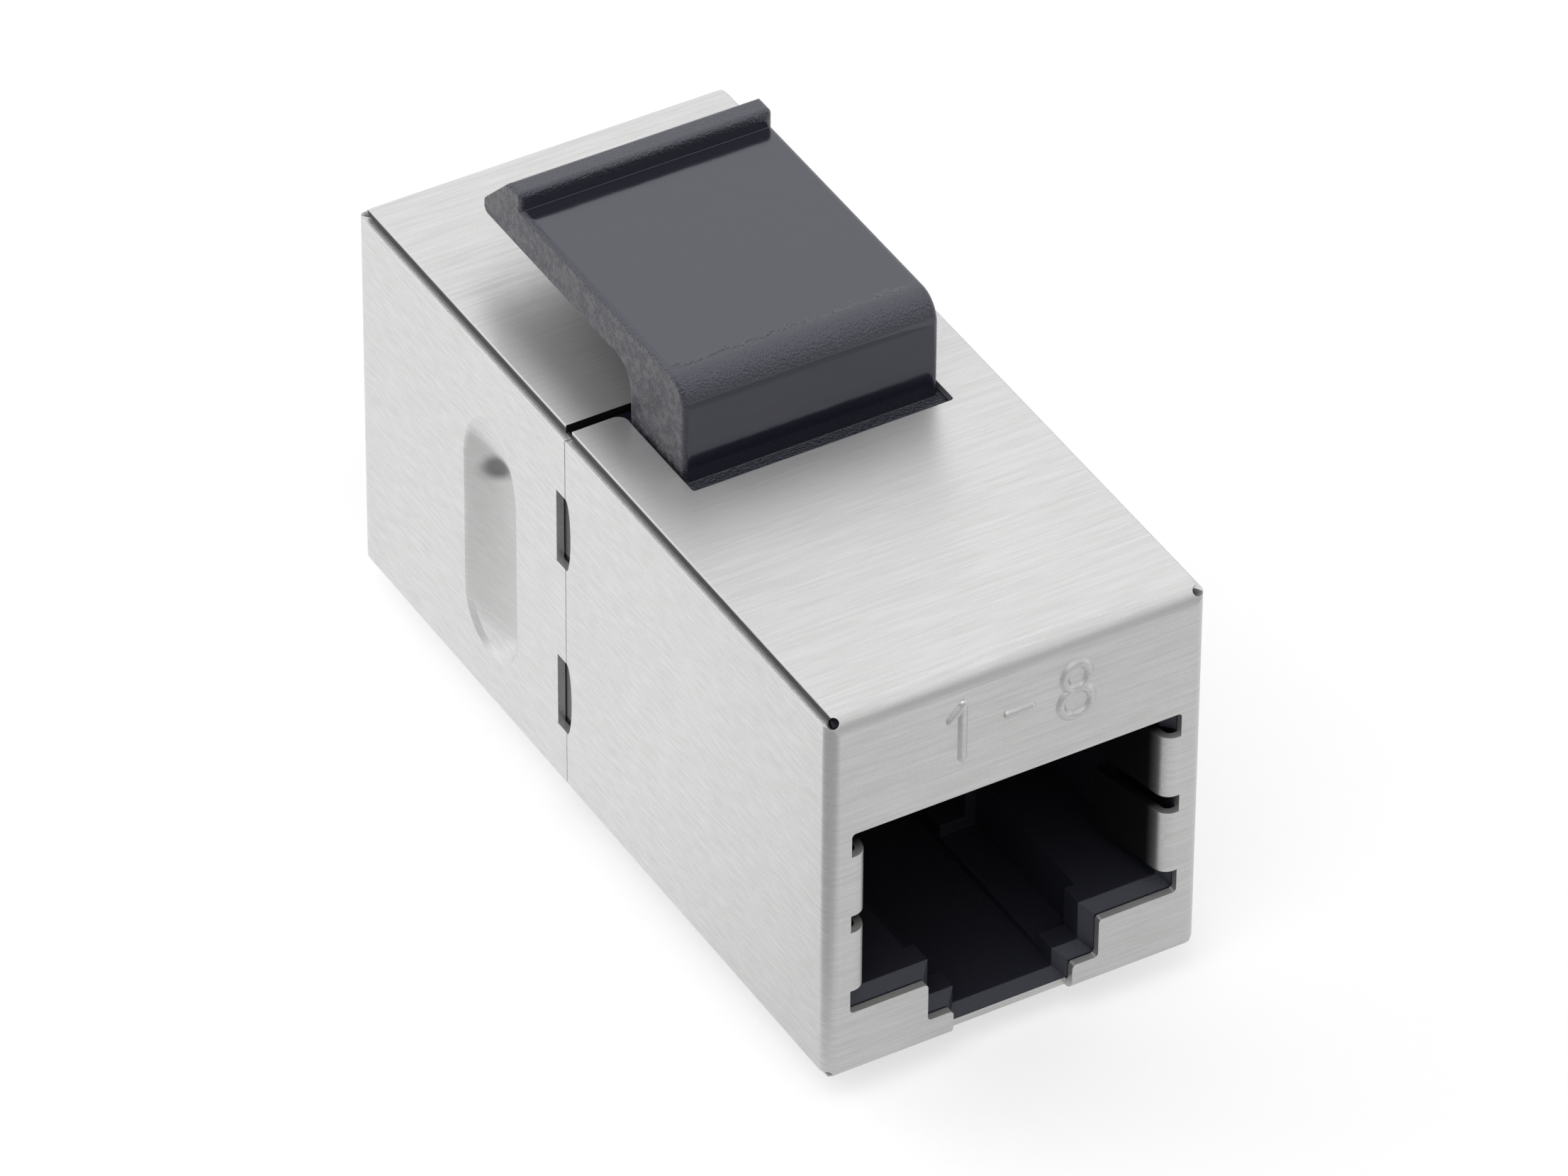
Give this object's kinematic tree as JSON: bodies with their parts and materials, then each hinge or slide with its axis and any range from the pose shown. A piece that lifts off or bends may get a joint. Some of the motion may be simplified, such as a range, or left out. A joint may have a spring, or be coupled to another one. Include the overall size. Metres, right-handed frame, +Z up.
{
  "type": "rj45 inline coupler",
  "caption": "Shielded modular jack coupler, socket to socket, with folded metal half shells and a black keystone latch on top.",
  "frame": {"origin": "under the middle of the body, level with the foot of the fixed lug", "axes": "+X across the width, +Y from the front socket to the rear socket, +Z up towards the latch"},
  "size_m": [0.0146, 0.0326, 0.0214],
  "materials": {
    "shell": "satin",
    "frame_plastic": "gloss",
    "socket_plastic": "fine spark texture",
    "carrier_plastic": "satin",
    "contact": "satin gold",
    "board": "satin"
  },
  "bodies": {
    "root": {"front_shell": "shell", "rear_shell": "shell", "latch_frame": "frame_plastic", "front_housing": "socket_plastic", "rear_housing": "socket_plastic", "front_contact_block": "carrier_plastic", "rear_contact_block": "carrier_plastic", "circuit_board": "board", "front_contact_1": "contact", "rear_contact_1": "contact", "front_contact_2": "contact", "rear_contact_2": "contact", "front_contact_3": "contact", "rear_contact_3": "contact", "front_contact_4": "contact", "rear_contact_4": "contact", "front_contact_5": "contact", "rear_contact_5": "contact", "front_contact_6": "contact", "rear_contact_6": "contact", "front_contact_7": "contact", "rear_contact_7": "contact", "front_contact_8": "contact", "rear_contact_8": "contact"}
  },
  "joints": []
}
